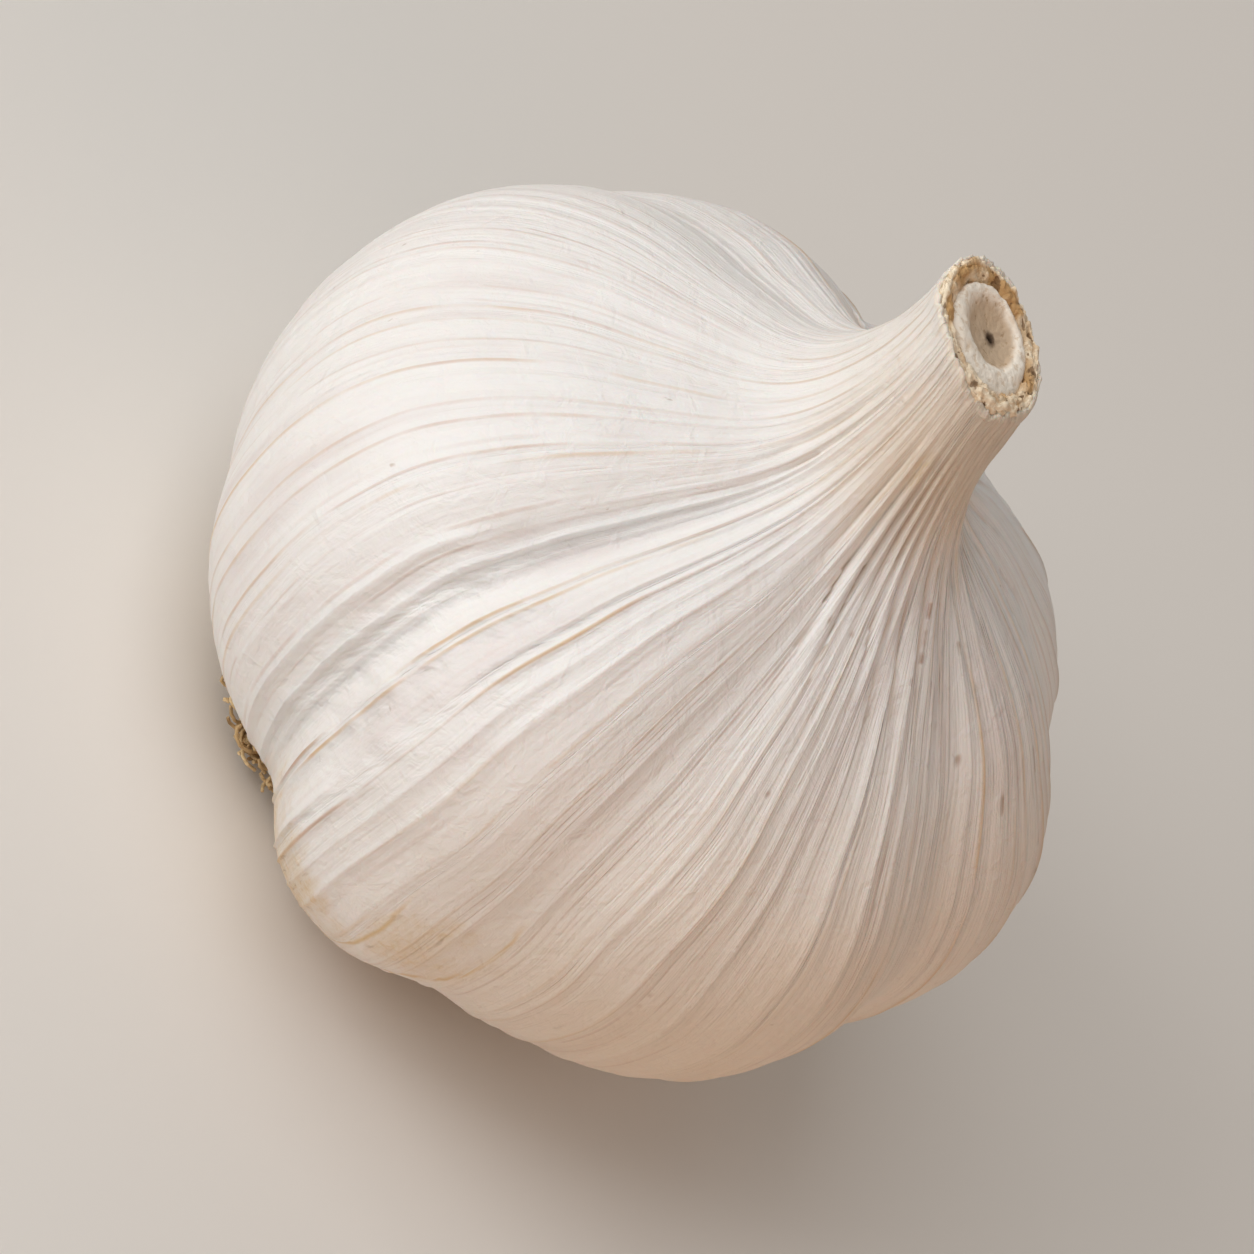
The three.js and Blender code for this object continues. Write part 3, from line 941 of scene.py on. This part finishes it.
cut_stalk, stalk = finish_sheet("cut_stalk")
fibre = noise(stalk, object_place(stalk), 2200, 3, 0.6)
tint = noise(stalk, object_place(stalk), 600, 2)
stalk_row = mark(stalk, "stalk_row")
dark_fibre = fade(fibre, 0.42, 0.3) * fade(stalk_row, 1.15, 0.9)
colour = coats(
    STALK_PALE,
    (0.5 * fade(tint, 0.45, 0.7), STALK_TAN),
    (0.85 * fade(stalk_row + 0.5 * (tint - 0.5), 1.08, 0.8), STALK_GREY),
    (0.7 * fade(stalk_row, 1.8, 2.0), STALK_TAN),
    (0.55 * fade(fibre, 0.47, 0.36), STALK_TAN),
    (0.7 * dark_fibre, STALK_BROWN),
    # Bottom of the pith hole: painted shade.
    (0.9 * fade(stalk_row, 0.2, 0.0), STALK_HOLE_SHADE),
)
end_finish(cut_stalk, colour, 0.7 + 0.15 * fibre, fibre, 0.12 * MM, DRY)

# %% Number the stalk's rows
HOLE_RADIUS = 0.27
HOLE_WALL = (
    (-2.4, 2), (-0.2, 2), (0.38, 1.94), (0.64, 1.75), (0.74, 1.5), (0.7, 1.2), (0.52, 1.0),
    (0.26, 0.8), (0.06, 0.5), (-0.02, 0.2), (-0.06, 0.0),
)
HOLE_BOTTOM = ((0.9 * HOLE_RADIUS, -0.6, 0), (0.0, -0.75, 0))
STALK_STEPS = 4

stalk_points = [(0.0, -2.4, 0)] + [(HOLE_RADIUS, *row) for row in HOLE_WALL] + list(HOLE_BOTTOM)
stalk_rows = smooth_line(stalk_points, STALK_STEPS)
stalk_line = [(max(0, radius) * MM, CUT_LEVEL + rise * MM) for radius, rise, _ in stalk_rows]
stalk_numbers = [min(2, max(0, number)) for _, _, number in stalk_rows]
stalk_mesh = outline_mesh("stalk_outline", stalk_line, [1] * len(stalk_line), stalk_numbers)

# %% Lay the stalk's grid
HOLE_SIDE = radians(-167)
DISC_SIDE = radians(-17)

stalk_sizes = {
    "Columns": 120,
    "Roughness": 0.4 * MM,
    "Disc Radius": 2.2 * MM,
    "Disc Aside": 0.33 * MM,
    "Hole Aside": 0.9 * MM,
}
sheet, given, spot = grid_sheet("cut_stalk", stalk_sizes)
angle = spot.column / given["Columns"] * tau


def to_circle(side, aside, size):
    """How far away a circle is, seen from a place inside it, when its middle lies aside."""
    towards = angle - side
    return aside * maths("COSINE", towards) + (size**2 - (aside * maths("SINE", towards)) ** 2) ** 0.5


tell("stalk grid", sheet)

# %% Place the stalk's rows
lobed = 0.2 * (noise(sheet, round_axis(sheet, angle, CORE_RADIUS, 0), 330, 2) - 0.5)
to_disc = to_circle(DISC_SIDE, given["Disc Aside"], given["Disc Radius"])
to_edge = to_circle(HOLE_SIDE + pi, given["Hole Aside"], CORE_RADIUS) * (1 + lobed)
in_disc = maths("MINIMUM", spot.along, 1)
radius = spot.radius + in_disc * (to_disc - HOLE_RADIUS * MM)
radius = radius + (spot.along - in_disc) * (to_edge - to_disc)
straight = round_axis(sheet, angle, radius, spot.level)
rough = (noise(sheet, straight, 1500, 3, 0.6) - 0.5) * given["Roughness"]
place = on_neck(sheet, angle, radius, spot.level + rough)
tell("with its rows in place", sheet)

# %% Move the stalk to its hole and close it
hole_x = stalk_sizes["Hole Aside"] * sin(HOLE_SIDE)
hole_y = -stalk_sizes["Hole Aside"] * cos(HOLE_SIDE)
to_hole = (hole_x, hole_y, CUT_SLOPE_X * hole_x + CUT_SLOPE_Y * hole_y)
place = sheet.add("ShaderNodeVectorMath", {"operation": "ADD"}, {0: place, 1: to_hole})
close_grid(sheet, spot.grid, place, {"stalk_row": (spot.along, "FLOAT", "POINT")}, cut_stalk)
stalk_piece = make_piece("cut_stalk", stalk_mesh, sheet, stalk_sizes)
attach(stalk_piece, "root")
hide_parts("stalk_core")

# %% [markdown]
# ## The root plate
# Under the bulb a corky disc carries the trimmed roots. It is turned like the other pieces, and
# winding pits are pressed into it: the places where a noise is 0.5 wander over the surface like
# worm holes in wood. One finish serves the disc and the roots, which are darkest where they start,
# and it paints the pits dark as painted shade.

# %% Finish the roots
ROOT_TAN = (0.56, 0.38, 0.19, 1)
ROOT_PALE = (0.80, 0.61, 0.35, 1)
ROOT_DARK = (0.13, 0.075, 0.035, 1)

dried_root, root = finish_sheet("dried_root")
cork = noise(root, object_place(root), 1300, 3, 0.6)
tuft = noise(root, object_place(root), 300, 2)
colour = coats(
    ROOT_TAN,
    (fade(tuft, 0.35, 0.65), ROOT_PALE),
    (0.5 * fade(cork, 0.5, 0.35), ROOT_DARK),
    # Dark where the roots start; on the plate the same mark paints the pits dark as painted shade.
    (0.8 * fade(mark(root, "tip"), 0.3, 0.0), ROOT_DARK),
)
end_finish(dried_root, colour, 0.75 + 0.15 * cork, cork, 0.2 * MM, DRY)

# %% Draw the root plate's outline
PLATE_OUTLINE = (
    (0.0, 0.0), (0.2, 0.0), (0.4, 0.0), (0.58, 0.0), (0.68, 0.35), (0.8, 1.0), (0.85, 1.6),
    (0.84, 3.0), (0.8, 3.6), (0.0, 3.6),
)
PLATE_STEPS = 10
PITTED_BELOW = 2 * MM

plate_points = [(radius * ROOT_RADIUS, level * MM) for radius, level in PLATE_OUTLINE]
plate_line = smooth_line(plate_points, PLATE_STEPS)
plate_relief = [1 if level < PITTED_BELOW else 0 for _, level in plate_line]
plate_mesh = outline_mesh("plate_outline", plate_line, plate_relief, [1] * len(plate_line))

# %% Turn the root plate
plate_sizes = {"Columns": 200, "Pits": 0.5 * MM}
sheet, given, spot = grid_sheet("root_disc", plate_sizes)
angle = spot.column / given["Columns"] * tau
straight = round_axis(sheet, angle, spot.radius, spot.level)
worm = abs(noise(sheet, straight, 550, 1, 0.5, 0.6) - 0.5)
pit = fade(worm, 0.09, 0.0) * given["Pits"]
level = maths("MAXIMUM", 0, spot.level - pit * spot.up)
place = round_axis(sheet, angle, spot.radius - pit * spot.out, level)
# The tip mark is low in the pits, so the finish paints them dark: painted shade.
plate_marks = {"tip": (1 - 0.9 * fade(worm, 0.07, 0.0), "FLOAT", "POINT")}
close_grid(sheet, spot.grid, place, plate_marks, dried_root)
plate_piece = make_piece("root_disc", plate_mesh, sheet, plate_sizes)

# %% [markdown]
# ## Root stubs and root hairs
# The thicker roots dried into curled straps and the thinner ones into hairs, longest in the notch
# at the front. Blender's hair curves could show them, but here they have to be plain meshes that
# stay above the floor. So a tree starts with one straight line for each root, bends it by formula
# and sweeps a flat profile along it.


# %% Start strands
def strand_sheet(name, sizes, counted):
    """A tree that starts with so many straight lines, and what each strand knows of itself."""
    sheet = geometry_sheet(name, sizes)
    points = sheet.add("GeometryNodePoints", {}, {"Count": sheet.given[counted]})
    line = sheet.add("GeometryNodeCurvePrimitiveLine", {}, {"End": (0, 0, MM)})
    line = sheet.add("GeometryNodeResampleCurve", {}, {"Curve": line, "Count": sheet.given["Steps"]})
    strands = sheet.add("GeometryNodeInstanceOnPoints", {}, {"Points": points, "Instance": line})
    strands = sheet.add("GeometryNodeRealizeInstances", {}, {"Geometry": strands})
    number = sheet.add("GeometryNodeCurveOfPoint", {}, {}, "Curve Index")
    t = sheet.add("GeometryNodeSplineParameter", {}, {}, "Factor")

    def own(low, high, which):
        return random(sheet, low, high, number, sheet.given["Seed"] + which)

    return SimpleNamespace(sheet=sheet, lines=strands, number=number, t=t, own=own)


# %% Sweep strands
PROFILE_CORNERS = 6


def sweep(strand, sizes, place, thickness, flatness):
    """The piece that a flat round profile makes when it is swept along the strands."""
    sheet, name = strand.sheet, strand.sheet.tree.name
    settings = {"data_type": "FLOAT", "domain": "POINT"}
    sockets = {"Geometry": strand.lines, "Name": "tip", "Value": strand.t}
    shape = sheet.add("GeometryNodeStoreNamedAttribute", settings, sockets)
    shape = sheet.add("GeometryNodeSetPosition", {}, {"Geometry": shape, "Position": place})
    shape = sheet.add("GeometryNodeSetCurveNormal", {"mode": "Z_UP"}, {"Curve": shape})
    sockets = {"Resolution": PROFILE_CORNERS, "Radius": sheet.given["Width"]}
    profile = sheet.add("GeometryNodeCurvePrimitiveCircle", {}, sockets, "Curve")
    sockets = {"Geometry": profile, "Scale": (1, flatness, 1)}
    profile = sheet.add("GeometryNodeTransform", {}, sockets)
    sockets = {"Curve": shape, "Profile Curve": profile, "Scale": thickness, "Fill Caps": True}
    end_sheet(sheet, sheet.add("GeometryNodeCurveToMesh", {}, sockets), dried_root)
    return make_piece(name, bpy.data.meshes.new(name), sheet, sizes)


# %% Curl the root stubs
STUB_FLATNESS = 0.42
STUB_LOWEST = 0.15 * MM

stub_sizes = {
    "Stubs": 110,
    "Steps": 9,
    "Inner Ring": 0.64 * ROOT_RADIUS,
    "Outer Ring": 0.80 * ROOT_RADIUS,
    "Length": 2.6 * MM,
    "Width": 0.42 * MM,
    "Start Level": 1.3 * MM,
    "Seed": 5,
}
stub = strand_sheet("root_stubs", stub_sizes, "Stubs")
given, own, t = stub.sheet.given, stub.own, stub.t
angle = (stub.number + own(-0.7, 0.7, 1)) / given["Stubs"] * tau
outer = stub.number % 2
start = given["Inner Ring"] + outer * (given["Outer Ring"] - given["Inner Ring"])
start = start + own(-0.4, 0.4, 2) * MM
length = given["Length"] * own(0.7, 1.25, 3)
heading = own(0.9, 1.4, 4)
curl = own(-3.4, -1.6, 5)
turned = heading + curl * t
from_axis = start + length / curl * (maths("SINE", turned) - maths("SINE", heading))
sunk = length / curl * (maths("COSINE", heading) - maths("COSINE", turned))
level = given["Start Level"] + own(-0.3, 0.4, 8) * MM - sunk
sideways = own(-0.6, 0.6, 6) * MM * t * t + own(-0.2, 0.2, 7) * MM * maths("SINE", 6 * t)
on_floor = maths("MAXIMUM", STUB_LOWEST, level)
place = round_axis(stub.sheet, angle + sideways / from_axis, from_axis, on_floor)
stub_piece = sweep(stub, stub_sizes, place, 1.05 - 0.45 * t * t, STUB_FLATNESS)

# %% Lay the root hairs
HAIR_FLATNESS = 0.7
HAIR_LOWEST = 0.12 * MM
HAIR_START_LEVEL = 1.0 * MM
NOTCH_SIDE = radians(-20)
NOTCH_RISE = 0.6 * MM

hair_sizes = {
    "Hairs": 360,
    "Steps": 10,
    "Start": 0.82 * ROOT_RADIUS,
    "Reach": 2.6 * MM,
    "Width": 0.2 * MM,
    "Seed": 9,
}
hair = strand_sheet("root_hairs", hair_sizes, "Hairs")
given, own, t = hair.sheet.given, hair.own, hair.t
spread = (hair.number + own(-0.8, 0.8, 1)) / given["Hairs"] * 2 - 1
angle = NOTCH_SIDE + pi * spread * abs(spread)
in_notch = near(angle - NOTCH_SIDE, radians(34), radians(18))
reach = given["Reach"] * own(0.5, 1.2, 2) + in_notch * own(5.2, 6.4, 3) * MM
from_axis = given["Start"] + own(-0.6, 0.4, 10) * MM + reach * maths("SINE", own(1.3, 2.0, 11) * t)
kink = own(-2.4, 2.4, 4) * MM * t * t
kink = kink + own(-0.35, 0.35, 5) * MM * maths("SINE", own(4, 9, 6) * t)
level = HAIR_START_LEVEL + own(-0.5, 0.9, 7) * MM * t + in_notch * NOTCH_RISE * t
level = level + own(-0.2, 0.25, 8) * MM * maths("SINE", own(3, 8, 9) * t)
on_floor = maths("MAXIMUM", HAIR_LOWEST, level)
place = round_axis(hair.sheet, angle + kink / from_axis, from_axis, on_floor)
hair_piece = sweep(hair, hair_sizes, place, 1.15 - 0.5 * t, HAIR_FLATNESS)

# %% Put the root pieces in the frame
for piece in (plate_piece, stub_piece, hair_piece):
    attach(piece, "root")
    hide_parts("root_plate")
    print(piece.name, "stands for root_plate")

# %% [markdown]
# ## Floor and light
# A pale floor and large soft lights show a white bulb best, because small ones would throw hard
# shadows on its pleats. The key light stands at the front on the side that the neck leans to, with
# another above it. A low warm fill opens the far side, and a weak light rims the back.

# %% Lay the floor
FLOOR_REACH = 4.0
FLOOR_DARK = (0.80, 0.765, 0.72, 1)
FLOOR_LIGHT = (0.83, 0.795, 0.75, 1)

pale_floor, ground = finish_sheet("pale_floor")
floor_patch = noise(ground, object_place(ground), 3, 2)
floor_colour = blend(floor_patch, FLOOR_DARK, FLOOR_LIGHT)
end_finish(pale_floor, floor_colour, 0.6 + 0.1 * floor_patch, floor_patch, 0.01 * MM, {})
bpy.ops.mesh.primitive_plane_add(size=2 * FLOOR_REACH)
floor = bpy.context.object
floor.name = "floor"
floor.data.materials.append(pale_floor)

# %% Set the lights
# Each light: its name, its direction, how far off, how wide, how strong, and its colour.
LIGHTS = (
    ("key", (-0.67, -0.65, 0.37), 0.7, 0.42, 2.5, (0.985, 0.995, 1.0)),
    ("top", (-0.45, -0.3, 0.84), 0.8, 0.6, 2.1, (0.99, 0.995, 1.0)),
    ("warm_fill", (0.9, -0.38, 0.04), 0.9, 0.6, 2.9, (1.0, 0.58, 0.36)),
    ("back", (-0.75, 0.55, 0.35), 0.9, 0.6, 0.5, (1.0, 0.90, 0.80)),
)

middle = Vector((0, 0, 0.41 * HEIGHT))
for name, direction, distance, size, power, tint in LIGHTS:
    lamp = bpy.data.lights.new(name, "AREA")
    lamp.energy = power
    lamp.size = size
    lamp.color = tint
    light = bpy.data.objects.new(name, lamp)
    towards = Vector(direction).normalized()
    light.location = middle + towards * distance
    light.rotation_euler = towards.to_track_quat("Z", "Y").to_euler()
    bpy.context.collection.objects.link(light)
    print(f"{name} light: {power} W from {distance} m")

# %% Light the studio
STUDIO_COLOUR = (1.0, 0.955, 0.90, 1)
STUDIO_STRENGTH = 0.28

world = bpy.data.worlds.new("studio")
world.use_nodes = True
background = world.node_tree.nodes["Background"].inputs
background["Color"].default_value = STUDIO_COLOUR
background["Strength"].default_value = STUDIO_STRENGTH
bpy.context.scene.world = world
bpy.context.scene.view_settings.view_transform = "Standard"
print("studio light:", STUDIO_STRENGTH)

# %% [markdown]
# ## Camera
# The bulb stands upright but is seen as if it lay on its side: from above the front, with the camera
# rolled until the neck points up to the right. A Track To constraint can't roll, so the camera's
# three axes are written down as a matrix. A long lens keeps the bulb's proportions.

# %% Aim the camera
ELEVATION = radians(39)
ROLL = radians(29)
DISTANCE = 0.7
AIM_RIGHT, AIM_UP = -2.0 * MM, -1.28 * MM

back = Vector((0, -cos(ELEVATION), sin(ELEVATION)))
upright = Vector((0, sin(ELEVATION), cos(ELEVATION)))
level_right = Vector((1, 0, 0))
right = cos(ROLL) * upright + sin(ROLL) * level_right
up = sin(ROLL) * upright - cos(ROLL) * level_right
eye = middle + AIM_RIGHT * right + AIM_UP * up + DISTANCE * back
turn = Matrix((right, up, back)).transposed().to_4x4()
print("camera at", [round(part, 3) for part in eye])

# %% Make the camera
FRAME_WIDTH = 73 * MM
SENSOR_WIDTH = 36
NEAREST = 0.01

camera_data = bpy.data.cameras.new("camera")
camera_data.sensor_width = SENSOR_WIDTH
camera_data.lens = SENSOR_WIDTH * DISTANCE / FRAME_WIDTH
camera_data.clip_start = NEAREST
camera = bpy.data.objects.new("camera", camera_data)
camera.matrix_world = Matrix.Translation(eye) @ turn
bpy.context.collection.objects.link(camera)
bpy.context.scene.camera = camera
print(f"camera lens {camera_data.lens:.0f} mm")
